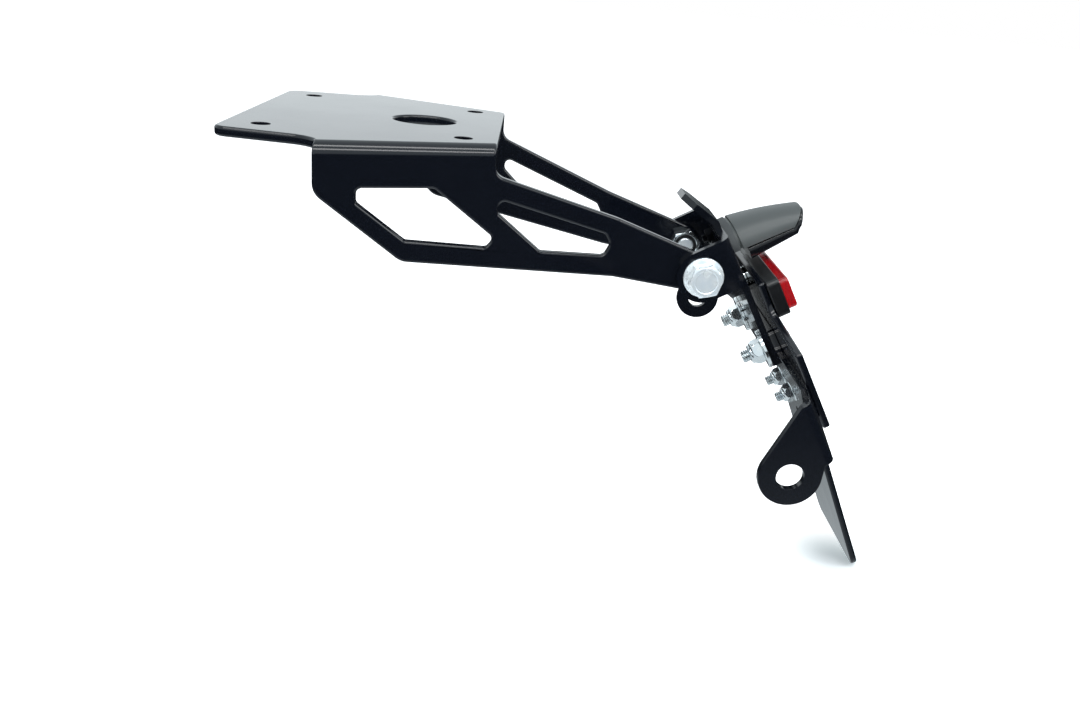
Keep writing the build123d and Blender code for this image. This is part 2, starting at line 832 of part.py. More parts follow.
for word, step in {"left": -1, "middle": 0, "right": 1}.items():
    with BuildPart() as lamp_led:
        with BuildSketch(hanger.offset(lamp_inner_back + board_thickness)):
            with Locations((step * led_spacing, board_middle)):
                Rectangle(led_side, led_side)
        extrude(amount=led_height)
    keep(lamp_led, f"lamp_led_{word}")

lamp_stud_end = gasket_back + stud_wall_depth
stud_inner_end = base_setback - stud_nut_height - stud_tail
for word, place in zip(sides, lamp_studs):
    lamp_stud = stud(hanger_seat(place, lamp_stud_end, -1), lamp_stud_end - stud_inner_end)
    keep(lamp_stud, f"lamp_stud_{word}")
    lamp_nut = plain_nut(hanger_seat(place, base_setback, -1), stud_nut_across, stud_nut_height, stud_thread_hole)
    keep(lamp_nut, f"lamp_nut_{word}")

# Reflector: a shallow body on the head of the carrier with a red lens on its face
reflector_face = carrier_back + reflector_body_depth
with BuildPart() as reflector_body:
    with BuildSketch(hanger.offset(carrier_back)):
        with Locations(reflector_stud_place):
            RectangleRounded(reflector_width, reflector_height, reflector_corner)
    extrude(amount=reflector_body_depth)
    with BuildSketch(hanger.offset(carrier_back)):
        with Locations(reflector_stud_place):
            Circle(stud_thread_hole)
    extrude(amount=reflector_stud_depth, mode=Mode.SUBTRACT)
keep(reflector_body, "reflector_body")

with BuildPart() as reflector_lens:
    with BuildSketch(hanger.offset(reflector_face)):
        with Locations(reflector_stud_place):
            RectangleRounded(
                reflector_width - 2 * reflector_lens_border,
                reflector_height - 2 * reflector_lens_border,
                reflector_corner,
            )
    extrude(amount=reflector_lens_depth)
    fillet(reflector_lens.faces().sort_by(Axis(pivot_point, rearward))[-1].edges(), reflector_lens_round)
keep(reflector_lens, "reflector_lens")

reflector_stud_end = carrier_back + reflector_stud_depth
reflector_stud = stud(hanger_seat(reflector_stud_place, reflector_stud_end, -1), reflector_stud_end - stud_inner_end)
keep(reflector_stud, "reflector_stud")
reflector_spacer = washer(hanger_seat(reflector_stud_place, base_back, 1), spacer_diameter, hanger_sheet, stud_hole)
keep(reflector_spacer, "reflector_spacer")
reflector_nut = plain_nut(
    hanger_seat(reflector_stud_place, base_setback, -1), stud_nut_across, stud_nut_height, stud_thread_hole
)
keep(reflector_nut, "reflector_nut")
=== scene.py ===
import json
from math import cos, pi, radians, sin

import bmesh
import bpy
import numpy as np
from mathutils import Matrix, Vector


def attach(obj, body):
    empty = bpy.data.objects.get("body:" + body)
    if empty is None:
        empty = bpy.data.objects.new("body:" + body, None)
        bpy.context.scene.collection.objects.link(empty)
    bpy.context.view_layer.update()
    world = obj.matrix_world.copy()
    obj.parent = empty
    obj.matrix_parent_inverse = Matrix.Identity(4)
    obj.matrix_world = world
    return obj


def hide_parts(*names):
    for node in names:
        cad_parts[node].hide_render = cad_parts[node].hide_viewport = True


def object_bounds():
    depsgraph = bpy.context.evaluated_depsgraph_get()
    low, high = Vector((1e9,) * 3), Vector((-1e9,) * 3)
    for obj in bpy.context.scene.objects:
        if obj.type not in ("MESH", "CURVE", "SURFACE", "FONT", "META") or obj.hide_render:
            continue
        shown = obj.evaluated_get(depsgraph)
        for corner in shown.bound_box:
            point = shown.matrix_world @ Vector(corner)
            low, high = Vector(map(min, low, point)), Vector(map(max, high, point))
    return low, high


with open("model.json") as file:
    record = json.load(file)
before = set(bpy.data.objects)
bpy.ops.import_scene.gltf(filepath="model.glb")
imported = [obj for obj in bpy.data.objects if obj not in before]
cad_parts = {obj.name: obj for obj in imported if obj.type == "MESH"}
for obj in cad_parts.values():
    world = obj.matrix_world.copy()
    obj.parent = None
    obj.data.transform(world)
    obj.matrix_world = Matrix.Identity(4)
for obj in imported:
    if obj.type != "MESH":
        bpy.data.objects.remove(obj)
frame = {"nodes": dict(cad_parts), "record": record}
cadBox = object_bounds()
nodes = frame["nodes"]
bodies = frame["record"]["behaviour"]["bodies"]
bodyOf = {node: body for body, members in bodies.items() for node in members}
slotOf = {row["node"]: row["material_slot"] for row in frame["record"]["subparts"]}
scene = bpy.context.scene
scene.view_settings.view_transform = "Standard"
mm = 0.001
noLimit = 1e3  # larger than any size here, in mm or in metres
print("frame loaded:", len(nodes), "nodes")

# the hanger's own directions: across the bike, up the plates and rearwards out of them
pivot = Vector((0.1846, 0, -0.0516))
tilt = radians(30)
across = Vector((0, 1, 0))
rearward = Vector((cos(tilt), 0, sin(tilt)))
upPlate = Vector((-sin(tilt), 0, cos(tilt)))
hangerAxes = np.array([across, upPlate, rearward])


# one place on the hanger: the pivot plus so many mm across, up the plates and rearwards
def onHanger(y, up, layer):
    return pivot + (y * across + up * upPlate + layer * rearward) * mm


# a grid of such places (across, up, layer in mm) as rows of points in the frame
def hangerPoints(grid):
    return grid.reshape(-1, 3) * mm @ hangerAxes + np.array(pivot)


# sRGB hex to the linear colour that the shaders take
def linear(hexColour):
    srgb = np.array([int(hexColour[i:i + 2], 16) for i in (1, 3, 5)]) / 255
    return (*np.where(srgb <= 0.04045, srgb / 12.92, ((srgb + 0.055) / 1.055) ** 2.4), 1)


# one node with its settings and its links
def addNode(tree, kind, settings={}, links={}):
    node = tree.nodes.new(kind)
    for key, value in settings.items():
        if isinstance(key, str) and key.islower() and hasattr(node, key):
            setattr(node, key, value)
        else:
            node.inputs[key].default_value = value
    for key, socket in links.items():
        tree.links.new(socket, node.inputs[key])
    return node


# sockets of a Mix node, whose names repeat: its factor, its two numbers, its two colours and its results
mixFactor, firstNumber, secondNumber, firstColour, secondColour = 0, 2, 3, 6, 7
numberResult, colourResult = 0, 2


# an empty material and its tree
def newMaterial(name):
    material = bpy.data.materials.new(name)
    material.use_nodes = True
    material.node_tree.nodes.clear()
    return material, material.node_tree


driftRange = (0.3, 0.7)  # most of a noise lies between these, so they span the gloss


# a finish with colour drift, uneven gloss and a fine relief, each noise with its own real size in mm
def finish(name, look):
    material, tree = newMaterial(name)
    place = addNode(tree, "ShaderNodeTexCoord").outputs["Object"]
    driftScale = 1 / (look["driftMm"] * mm)
    grainScale = 1 / (look["grainMm"] * mm)
    drift = addNode(tree, "ShaderNodeTexNoise", {"Scale": driftScale, "Detail": 3}, {"Vector": place})
    grain = addNode(tree, "ShaderNodeTexNoise", {"Scale": grainScale, "Detail": 2}, {"Vector": place})
    dark, pale = (linear(colour) for colour in look["colours"])
    colour = addNode(tree, "ShaderNodeMix", {"data_type": "RGBA", firstColour: dark, secondColour: pale},
                     {mixFactor: drift.outputs["Fac"]})
    gloss = addNode(tree, "ShaderNodeMapRange", {
        "From Min": driftRange[0], "From Max": driftRange[1],
        "To Min": look["roughness"][0], "To Max": look["roughness"][1],
    }, {"Value": drift.outputs["Fac"]})
    relief = addNode(tree, "ShaderNodeBump", {"Strength": look["relief"], "Distance": look["reliefMm"] * mm},
                     {"Height": grain.outputs["Fac"]})
    shader = addNode(tree, "ShaderNodeBsdfPrincipled", {
        "Metallic": look.get("metallic", 0), "IOR": look.get("ior", 1.5),
        "Transmission Weight": look.get("clear", 0),
    }, {
        "Base Color": colour.outputs[colourResult], "Roughness": gloss.outputs["Result"],
        "Normal": relief.outputs["Normal"],
    })
    addNode(tree, "ShaderNodeOutputMaterial", {}, {"Surface": shader.outputs["BSDF"]})
    return material


# finishes of the record's slots
finishes = {
    # black powder coat on steel: baked smooth with a faint orange peel, and a mirror at low angles
    "powder_coat": finish("BlackPowderCoat", {
        "colours": ("#080b12", "#0c1018"), "driftMm": 40, "roughness": (0.11, 0.16),
        "grainMm": 1.3, "relief": 0.015, "reliefMm": 0.03}),
    # bright zinc plate: cold blue and faint yellow tints over drawn steel
    "zinc_plate": finish("BrightZincPlate", {
        "colours": ("#dfeaf2", "#f4f5f1"), "driftMm": 3.5, "roughness": (0.08, 0.15),
        "grainMm": 0.5, "relief": 0.05, "reliefMm": 0.03, "metallic": 0.96}),
    # black zinc plate: dark, with a little steel gloss
    "black_zinc": finish("BlackZincPlate", {
        "colours": ("#141518", "#222327"), "driftMm": 3, "roughness": (0.3, 0.45),
        "grainMm": 0.5, "relief": 0.08, "reliefMm": 0.03, "metallic": 1}),
    # dark grey rubber pad, moulded: matt
    "gasket": finish("GreyRubber", {
        "colours": ("#3e4244", "#474b4d"), "driftMm": 8, "roughness": (0.6, 0.75),
        "grainMm": 0.5, "relief": 0.3, "reliefMm": 0.05}),
    # dark grey ABS with a spark-eroded mould face: satin, its grain drawn coarse enough to show
    "lamp_plastic": finish("SatinGreyAbs", {
        "colours": ("#464b4c", "#4e5353"), "driftMm": 12, "roughness": (0.42, 0.5),
        "grainMm": 0.35, "relief": 0.25, "reliefMm": 0.03}),
    # smoked acrylic, moulded and polished: nearly black from the side
    "clear_lens": finish("SmokedAcrylic", {
        "colours": ("#0e1014", "#15171c"), "driftMm": 10, "roughness": (0.08, 0.14),
        "grainMm": 1.5, "relief": 0.1, "reliefMm": 0.05, "clear": 0.2, "ior": 1.49}),
    # glass-fibre board under green solder mask: dark green with a thin gloss
    "circuit_board": finish("GreenSolderMask", {
        "colours": ("#0d4a24", "#14602f"), "driftMm": 4, "roughness": (0.25, 0.35),
        "grainMm": 0.6, "relief": 0.15, "reliefMm": 0.03}),
    # yellow phosphor in silicone: a soft pale yellow
    "diode": finish("YellowPhosphor", {
        "colours": ("#e8d36a", "#f3e59a"), "driftMm": 1, "roughness": (0.3, 0.45),
        "grainMm": 0.3, "relief": 0.1, "reliefMm": 0.02}),
    # black ABS, moulded: nearly black, glossier than the lamp
    "reflector_plastic": finish("BlackAbs", {
        "colours": ("#07080b", "#0b0c10"), "driftMm": 10, "roughness": (0.26, 0.36),
        "grainMm": 0.4, "relief": 0.15, "reliefMm": 0.03}),
    # red acrylic, moulded and polished: deep red, with the prisms showing through
    "red_lens": finish("RedAcrylic", {
        "colours": ("#b00f1a", "#cc1822"), "driftMm": 5, "roughness": (0.13, 0.19),
        "grainMm": 1.2, "relief": 0.05, "reliefMm": 0.03, "clear": 0.48, "ior": 1.49}),
}
# finishes of pieces that differ from their slot
ownFinishes = {
    # prism faces of a red reflector: they throw light back, so they look like red foil
    "prisms": finish("RedPrismFoil", {
        "colours": ("#d80f20", "#ff2a35"), "driftMm": 2, "roughness": (0.12, 0.22),
        "grainMm": 0.8, "relief": 0.05, "reliefMm": 0.02, "metallic": 1}),
    # the pivot bolts' zinc, duller and paler than the nuts': a milky white with a blue cast
    "pivotBolt": finish("DullZincPlate", {
        "colours": ("#cfe0ee", "#f7f9f6"), "driftMm": 5, "roughness": (0.2, 0.3),
        "grainMm": 0.5, "relief": 0.06, "reliefMm": 0.03, "metallic": 0.45}),
    # nylon ring of a lock nut, moulded: black and dull
    "nylonRing": finish("BlackNylon", {
        "colours": ("#0a0b0d", "#121316"), "driftMm": 2, "roughness": (0.4, 0.5),
        "grainMm": 0.4, "relief": 0.1, "reliefMm": 0.03}),
}
for name, node in nodes.items():
    node.data.materials.clear()
    node.data.materials.append(finishes[slotOf[name]])
print("materials made:", len(finishes) + len(ownFinishes))


# a piece that stands for a CAD node: it rides on the node's body and wears its slot's finish or one of its
# own
def addPiece(name, mesh, stands, own=None, replaces=True):
    piece = bpy.data.objects.new(name, mesh)
    scene.collection.objects.link(piece)
    mesh.materials.clear()
    mesh.materials.append(own or finishes[slotOf[stands]])
    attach(piece, bodyOf[stands])
    if replaces:
        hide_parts(stands)
    return piece


# faces shaded smooth, apart from edges that turn by more than an angle in degrees
def smoothFaces(mesh, sharp):
    mesh.polygons.foreach_set("use_smooth", np.ones(len(mesh.polygons), bool))
    mesh.set_sharp_from_angle(angle=radians(sharp))


# points and faces as a closed mesh: points within some mm join, which shuts seams and poles,
# and faces turn outwards
def closedMesh(name, points, faces, join, sharp):
    mesh = bpy.data.meshes.new(name)
    mesh.from_pydata(points.tolist(), [], faces.tolist())
    shell = bmesh.new()
    shell.from_mesh(mesh)
    bmesh.ops.remove_doubles(shell, verts=shell.verts, dist=join * mm)
    bmesh.ops.recalc_face_normals(shell, faces=shell.faces)
    shell.to_mesh(mesh)
    shell.free()
    smoothFaces(mesh, sharp)
    return mesh


# quads of a grid that joins up round its first direction, and round its second where it is a ring
def gridQuads(steps, rows, ring=False):
    index = np.arange(steps * rows).reshape(steps, rows)
    if ring:
        index = np.concatenate([index, index[:, :1]], 1)
    beside = np.roll(index, -1, 0)
    return np.stack([index[:, :-1], beside[:, :-1], beside[:, 1:], index[:, 1:]], -1).reshape(-1, 4)


# sheet and moulded pieces: the solid's own faces, merged and flattened, with edges (mm) rounded by the coat;
# the reliefs and inner corners of a clamped one are too small for a full round
softPieces = {
    "main_bracket": {"edge": 1.2, "clamp": False},
    "hinge_bracket": {"edge": 0.9, "clamp": True},
    "indicator_bar": {"edge": 0.9, "clamp": True},
    "plate_carrier": {"edge": 0.9, "clamp": True},
    "reflector_body": {"edge": 0.5, "clamp": True},
}
# join and merge are in mm, flat and sharp in degrees
softWork = {"join": 0.002, "flat": 0.6, "merge": 0.15, "sharp": 35, "segments": 4}
# a loop of sharp edges narrower than this (mm) is a hole, whose edge is a share of the full one
holeEdges = {"sharp": 35, "widest": 30, "share": 0.22}


# weight of each sharp edge: edges that share a point take the lowest number among them until nothing changes,
# which names the loops, and the diagonal of a loop's box says whether it is a hole
def weighEdges(shell):
    layer = shell.edges.layers.float.new("bevel_weight_edge")
    sharpAngle = radians(holeEdges["sharp"])
    sharp = [edge for edge in shell.edges if edge.is_manifold and edge.calc_face_angle() > sharpAngle]
    ends = np.array([[vertex.index for vertex in edge.verts] for edge in sharp])
    places = np.array([vertex.co[:] for vertex in shell.verts])
    label = np.arange(len(places))
    while True:
        lower = label.copy()
        np.minimum.at(lower, ends.reshape(-1), np.repeat(label[ends].min(1), 2))
        if (lower == label).all():
            break
        label = lower
    loops = label[ends].reshape(-1)
    low = np.full(places.shape, noLimit)
    high = np.full(places.shape, -noLimit)
    np.minimum.at(low, loops, places[ends].reshape(-1, 3))
    np.maximum.at(high, loops, places[ends].reshape(-1, 3))
    hole = np.linalg.norm(high - low, axis=1)[label[ends[:, 0]]] < holeEdges["widest"] * mm
    for edge, small in zip(sharp, hole):
        edge[layer] = holeEdges["share"] if small else 1


for name, size in softPieces.items():
    mesh = nodes[name].data.copy()
    shell = bmesh.new()
    shell.from_mesh(mesh)
    bmesh.ops.remove_doubles(shell, verts=shell.verts, dist=softWork["join"] * mm)
    bmesh.ops.dissolve_limit(shell, angle_limit=radians(softWork["flat"]),
                             verts=shell.verts, edges=shell.edges)
    if not size["clamp"]:
        bmesh.ops.remove_doubles(shell, verts=shell.verts, dist=softWork["merge"] * mm)
    shell.verts.index_update()
    weighEdges(shell)
    shell.to_mesh(mesh)
    shell.free()
    smoothFaces(mesh, softWork["sharp"])
    piece = addPiece(name + "_soft", mesh, name)
    bevel = piece.modifiers.new("edges", "BEVEL")
    bevel.width = size["edge"] * mm
    bevel.segments = softWork["segments"]
    bevel.limit_method = "WEIGHT"
    bevel.miter_outer = "MITER_ARC"
    bevel.use_clamp_overlap = size["clamp"]
    piece.modifiers.new("faces", "WEIGHTED_NORMAL").keep_sharp = False
print("soft edges made:", len(softPieces))

sides = {"left": -1, "right": 1}
turnSteps = 144  # 2.5 degrees, so that the corners of a hexagon fall on the grid
turn = np.arange(turnSteps) * 2 * pi / turnSteps


# radii at each turn and row as points: radius * cos(turn), radius * sin(turn) and the row's height
def roundPoints(radius, height):
    x = radius * np.cos(turn)[:, None]
    y = radius * np.sin(turn)[:, None]
    return np.stack([x, y, np.broadcast_to(height, radius.shape)], -1)


# a turned form, whose profile's rows are (height, radius) or (height, radius or None, flat of a hexagon);
# a row's radius at an angle is the smaller of its circle and its hexagon,
# which is flat / cos(angle from the flat's middle)
def turnedRows(rows, hexTurn=0):
    fromFlat = (turn - hexTurn + pi / 6) % (pi / 3) - pi / 6
    height = np.array([row[0] for row in rows])
    circle = np.array([noLimit if row[1] is None else row[1] for row in rows])
    flat = np.array([row[2] if len(row) > 2 else noLimit for row in rows])
    return roundPoints(np.minimum(circle[None, :], flat[None, :] / np.cos(fromFlat)[:, None]), height)


# depth as a share of the pitch, rows to a pitch, and play in mm inside the solid
thread = {"depth": 0.6, "slope": 2.4, "crest": 0.15, "rows": 10, "play": 0.02}


# a thread: the radius falls from the crest to the root and back once a pitch,
# and the wave climbs one pitch a turn;
# depth = a share of the pitch times a slope, cut off flat at the crest and at the root
def threadRows(radius, pitch, start, end, chamfer):
    height = np.arange(start, end + pitch / (2 * thread["rows"]), pitch / thread["rows"])
    wave = (height[None, :] / pitch - turn[:, None] / (2 * pi)) % 1
    depth = thread["depth"] * pitch * np.clip(thread["slope"] * np.abs(wave - 0.5) - thread["crest"], 0, 1)
    tip = radius - chamfer + np.minimum(height - start, chamfer)
    return roundPoints(np.minimum(radius - depth, np.minimum(tip, radius)[None, :]), height)


# a threaded shank: a flat end that is drawn in, then the thread up to height 0
def shankRows(size, length):
    foot = turnedRows([(-length, 0), (-length, size["radius"] - size["end"])])
    turns = threadRows(size["radius"] - thread["play"], size["pitch"], -length, 0, size["chamfer"])
    return np.concatenate([foot, turns], 1)


# cut as a share of how far a corner stands past a flat, and the cone's small end as a share of the flat
hexEnd = {"cut": 0.62, "small": 0.97, "rows": 9}


# hexagon from low to high with a cone cut at one or both ends, in rows close enough for the curved chamfers;
# the cone's radius runs from a share of the flat out to the corner, flat / cos(30 degrees)
def hexRows(flat, low, high, bottomToo):
    corner = flat / cos(pi / 6)
    small = hexEnd["small"] * flat
    cut = hexEnd["cut"] * flat * (2 / 3 ** 0.5 - 1)
    shares = np.linspace(0, 1, hexEnd["rows"])
    rows = [(low, None, flat)]
    if bottomToo:
        rows = [(low + cut * share, small + (corner - small) * share, flat) for share in shares]
    return rows + [(high - cut * (1 - share), corner - (corner - small) * share, flat) for share in shares]


turnedWork = {"join": 0.001, "sharp": 28, "sideways": 0.9}  # mm, degrees, and y of an axis across the bike


# a grid round an axis as a closed skin on its seat: the turns join up, and the end rows meet poles,
# or each other in a ring; a point is seat + x * first + y * second + height * axis
def skin(stands, grid, seat, axis, ring=False, own=None, ending="turned", replaces=True):
    first = axis.orthogonal().normalized() if abs(axis.y) > turnedWork["sideways"] else across
    axes = np.array([first, axis.cross(first), axis])
    points = grid.reshape(-1, 3) * mm @ axes + np.array(seat)
    name = f"{stands}_{ending}"
    quads = gridQuads(*grid.shape[:2], ring)
    mesh = closedMesh(name, points, quads, turnedWork["join"], turnedWork["sharp"])
    addPiece(name, mesh, stands, own, replaces)


# pivot bolt: a flanged hexagon with a dished top on a threaded shank, seated so many mm from the middle
pivotBolt = {
    "seat": 33.0, "radius": 4.0, "pitch": 1.25, "length": 13.5, "chamfer": 0.7, "end": 1.0,
    "flange": 8.75, "flangeHeight": 1.6, "cone": 1.25,
    "rim": ((0, 0.3), (0.1, 0.08), (0.3, 0), (0.75, 0), (0.95, 0.12)),  # height, and mm in from the flange
    "flat": 6.5, "headHeight": 8.0, "footHeight": 0.25, "footSpread": 0.12, "sidesFrom": 0.4,
    "dish": ((0, 5.9), (0, 5.05), (0.35, 4.75), (0.4, 0)),  # depth from the top, and radius
}
# pivot nut: a hexagon with a pocket at its top for a nylon ring
pivotNut = {
    "seat": 26.0, "flat": 6.5, "height": 6.5, "bore": 4.1, "mouth": 0.5,
    "pocket": 5.3, "pocketDepth": 1.6, "lip": 0.35,
    "nylon": ((0.5, 0), (0.3, 0.25)), "nylonBore": 0.4,  # depth from the top, and mm in from the pocket
}


# rows of the bolt's head, from the flange's foot over the hexagon into the dish
def pivotHeadRows(size):
    rise = size["flangeHeight"]
    top = size["headHeight"]
    rows = [(height, size["flange"] - inset) for height, inset in size["rim"]]
    rows += [(rise, size["flange"] - size["cone"])]
    rows += [(rise + size["footHeight"], None, size["flat"] + size["footSpread"])]
    rows += hexRows(size["flat"], rise + size["sidesFrom"], top, False)
    return rows + [(top - depth, radius) for depth, radius in size["dish"]]


# rows of the nut, over the hexagon, into the pocket and down the bore
def pivotNutRows(size):
    top = size["height"]
    pocketFloor = top - size["pocketDepth"]
    rows = hexRows(size["flat"], 0, top, True)
    rows += [(top, size["pocket"] + size["lip"]), (top - size["lip"], size["pocket"])]
    rows += [(pocketFloor, size["pocket"]), (pocketFloor, size["bore"])]
    return rows + [(size["mouth"], size["bore"]), (0, size["bore"] + size["mouth"])]


# rows of the nylon ring, which fills the pocket up to just below the top
def nylonRows(size):
    top = size["height"]
    pocketFloor = top - size["pocketDepth"]
    rows = [(pocketFloor, size["bore"]), (pocketFloor, size["pocket"])]
    rows += [(top - depth, size["pocket"] - inset) for depth, inset in size["nylon"]]
    return rows + [(top - size["nylonBore"], size["bore"])]


pivotBoltGrid = np.concatenate(
    [shankRows(pivotBolt, pivotBolt["length"]), turnedRows(pivotHeadRows(pivotBolt))], 1)
pivotNutGrid = turnedRows(pivotNutRows(pivotNut))
nylonGrid = turnedRows(nylonRows(pivotNut))
for word, side in sides.items():
    outward = Vector((0, side, 0))
    boltSeat = pivot + outward * pivotBolt["seat"] * mm
    nutSeat = pivot + outward * pivotNut["seat"] * mm
    skin(f"pivot_bolt_{word}", pivotBoltGrid, boltSeat, outward, own=ownFinishes["pivotBolt"])
    skin(f"pivot_nut_{word}", pivotNutGrid, nutSeat, -outward, ring=True)
    skin(f"pivot_nut_{word}", nylonGrid, nutSeat, -outward, ring=True,
         own=ownFinishes["nylonRing"], ending="insert", replaces=False)
print("pivot hardware made")

lockNut = {
    "chamfer": 0.08, "small": 0.97, "chamferRows": 7,  # shares of the flat
    "shoulder": (0.36, 0.44), "bend": 2.4, "shoulderRows": 13,  # start and length as shares of the height
    "collar": 0.55, "rim": 0.9, "rimStart": 0.15, "rimRows": 8,  # mm in from the flat, mm round, radians
    "lip": 1.1, "dip": 0.25, "dipWidth": 0.3, "dipFloor": 0.35, "mouth": 0.5,  # mm at the top and the foot
}


# lock nut: a hexagon whose corners round off into a collar over its insert;
# up the shoulder the corner's radius falls to the collar's by share ** bend,
# and the collar's rim is part of a circle
def lockNutRows(flat, height, bore):
    corner = flat / cos(pi / 6)
    small = lockNut["small"] * flat
    collar = flat - lockNut["collar"]
    rim = lockNut["rim"]
    bend = lockNut["bend"]
    start, reach = lockNut["shoulder"]
    rows = [(lockNut["chamfer"] * flat * share, small + (corner - small) * share, flat)
            for share in np.linspace(0, 1, lockNut["chamferRows"])]
    rows += [(height * (start + reach * share), collar + (corner - collar) * (1 - share ** bend), flat)
             for share in np.linspace(0, 1, lockNut["shoulderRows"])]
    rows += [(height - rim + rim * sin(a), collar - rim + rim * cos(a))
             for a in np.linspace(lockNut["rimStart"], pi / 2, lockNut["rimRows"])]
    rows += [(height, collar - lockNut["lip"]), (height - lockNut["dip"], bore + lockNut["dipWidth"])]
    rows += [(height - lockNut["dipFloor"], bore)]
    return rows + [(lockNut["mouth"], bore), (0, bore + lockNut["mouth"])]


# the edge and the chamfer are in mm, the rest are shares of the head or of the socket
buttonHead = {
    "edge": 0.15, "domeHeight": (0.25, 0.75), "domeRadius": (0.55, 0.45), "domeRows": 9,
    "socketRim": 1.2, "socketChamfer": 0.2, "socketFloor": (0.4, 0.35),
}


# button head: a low dome, a quarter of an ellipse over a short wall, with a hexagon socket
def buttonRows(radius, height, socketFlat):
    lowHeight, moreHeight = buttonHead["domeHeight"]
    topRadius, moreRadius = buttonHead["domeRadius"]
    floorEdge, floorMiddle = buttonHead["socketFloor"]
    rows = [(0, radius - buttonHead["edge"]), (buttonHead["edge"], radius)]
    rows += [(height * (lowHeight + moreHeight * sin(a)), radius * (topRadius + moreRadius * cos(a)))
             for a in np.linspace(0, pi / 2, buttonHead["domeRows"])]
    rows += [(height, socketFlat * buttonHead["socketRim"])]
    rows += [(height - buttonHead["socketChamfer"], None, socketFlat)]
    return rows + [(floorEdge * height, None, socketFlat), (floorMiddle * height, 0)]


# each pair is a height from the foot or a depth from the top, and mm in from the rim or out from the bore
washerEdges = {
    "rimFoot": ((0, 0.1), (0.15, 0)), "rimTop": ((0.3, 0), (0.08, 0.12), (0, 0.35)),
    "boreTop": ((0, 0.25), (0.2, 0)), "boreFoot": ((0.1, 0), (0, 0.1)),
}


# washer: a flat ring, rounder at the rim of its upper side
def washerRows(radius, height, bore):
    rows = [(low, radius - inset) for low, inset in washerEdges["rimFoot"]]
    rows += [(height - depth, radius - inset) for depth, inset in washerEdges["rimTop"]]
    rows += [(height - depth, bore + outset) for depth, outset in washerEdges["boreTop"]]
    return rows + [(low, bore + outset) for low, outset in washerEdges["boreFoot"]]


borePlay = 0.1  # mm between a thread and its nut
# y across, drop below the pivot, and the layers that the head and the washer sit on, in mm
hangerSets = {
    "carrier": {
        "screw": "bolt", "y": 24.5, "drop": 46, "rear": 22.5, "front": 13.5,
        "radius": 3.0, "pitch": 1.0, "length": 20, "chamfer": 0.6, "end": 0.9,
        "headRadius": 5.25, "headHeight": 3.3, "socket": 1.86,
        "washer": 9.0, "washerHeight": 1.6, "hole": 3.35, "flat": 5.0, "nutHeight": 6.0, "nutTurn": 30},
    "plate": {
        "screw": "screw", "y": 10, "drop": 79, "rear": 22.5, "front": 19.5,
        "radius": 2.5, "pitch": 0.8, "length": 12, "chamfer": 0.6, "end": 0.9,
        "headRadius": 4.375, "headHeight": 2.75, "socket": 1.55,
        "washer": 5.0, "washerHeight": 1.0, "hole": 2.85, "flat": 4.0, "nutHeight": 5.0, "nutTurn": 25},
}
for kind, size in hangerSets.items():
    head = turnedRows(buttonRows(size["headRadius"], size["headHeight"], size["socket"]))
    screw = np.concatenate([shankRows(size, size["length"]), head], 1)
    washer = turnedRows(washerRows(size["washer"], size["washerHeight"], size["hole"]))
    nutRows = lockNutRows(size["flat"], size["nutHeight"], size["radius"] + borePlay)
    nut = turnedRows(nutRows, radians(size["nutTurn"]))
    for word, side in sides.items():
        rearSeat = onHanger(side * size["y"], -size["drop"], size["rear"])
        frontSeat = onHanger(side * size["y"], -size["drop"], size["front"])
        nutSeat = onHanger(side * size["y"], -size["drop"], size["front"] - size["washerHeight"])
        skin(f"{kind}_{size['screw']}_{word}", screw, rearSeat, rearward)
        skin(f"{kind}_washer_{word}", washer, frontSeat, -rearward, ring=True)
        skin(f"{kind}_nut_{word}", nut, nutSeat, -rearward, ring=True)

# studs of the lamp and the reflector, all of one thread, with plain nuts; tail, seat and rearEnd are layers
stud = {"radius": 2.0, "pitch": 0.7, "chamfer": 0.4, "end": 0.5, "top": 0.3, "tail": 8.3}
studNut = {"flat": 3.5, "height": 3.2, "mouth": 0.3, "seat": 13.5}
studSets = {
    "lamp_stud_left": {"nut": "lamp_nut_left", "y": -10, "up": 2.5, "rearEnd": 21.0},
    "lamp_stud_right": {"nut": "lamp_nut_right", "y": 10, "up": 2.5, "rearEnd": 21.0},
    "reflector_stud": {"nut": "reflector_nut", "y": 0, "up": -19.3, "rearEnd": 26.0},
}
studBore = stud["radius"] + borePlay
studNutHigh = studNut["height"]
studNutRows = hexRows(studNut["flat"], 0, studNutHigh, True)
studNutRows += [(studNutHigh, studBore + studNut["mouth"]), (studNutHigh - studNut["mouth"], studBore)]
studNutRows += [(studNut["mouth"], studBore), (0, studBore + studNut["mouth"])]
studTop = turnedRows([(0, stud["radius"] - stud["top"]), (0, 0)])
for name, at in studSets.items():
    studGrid = np.concatenate([shankRows(stud, at["rearEnd"] - stud["tail"]), studTop], 1)
    skin(name, studGrid, onHanger(at["y"], at["up"], at["rearEnd"]), rearward)
    nutSeat = onHanger(at["y"], at["up"], studNut["seat"])
    skin(at["nut"], turnedRows(studNutRows), nutSeat, -rearward, ring=True)
spacer = {"radius": 5.0, "height": 3.0, "bore": 2.35, "y": 0, "up": -19.3, "layer": 16.5}
spacerGrid = turnedRows(washerRows(spacer["radius"], spacer["height"], spacer["bore"]))
spacerSeat = onHanger(spacer["y"], spacer["up"], spacer["layer"])
skin("reflector_spacer", spacerGrid, spacerSeat, rearward, ring=True)
print("hanger hardware made")

mouldedWork = {"join": 0.002, "sharp": 35}  # mm and degrees


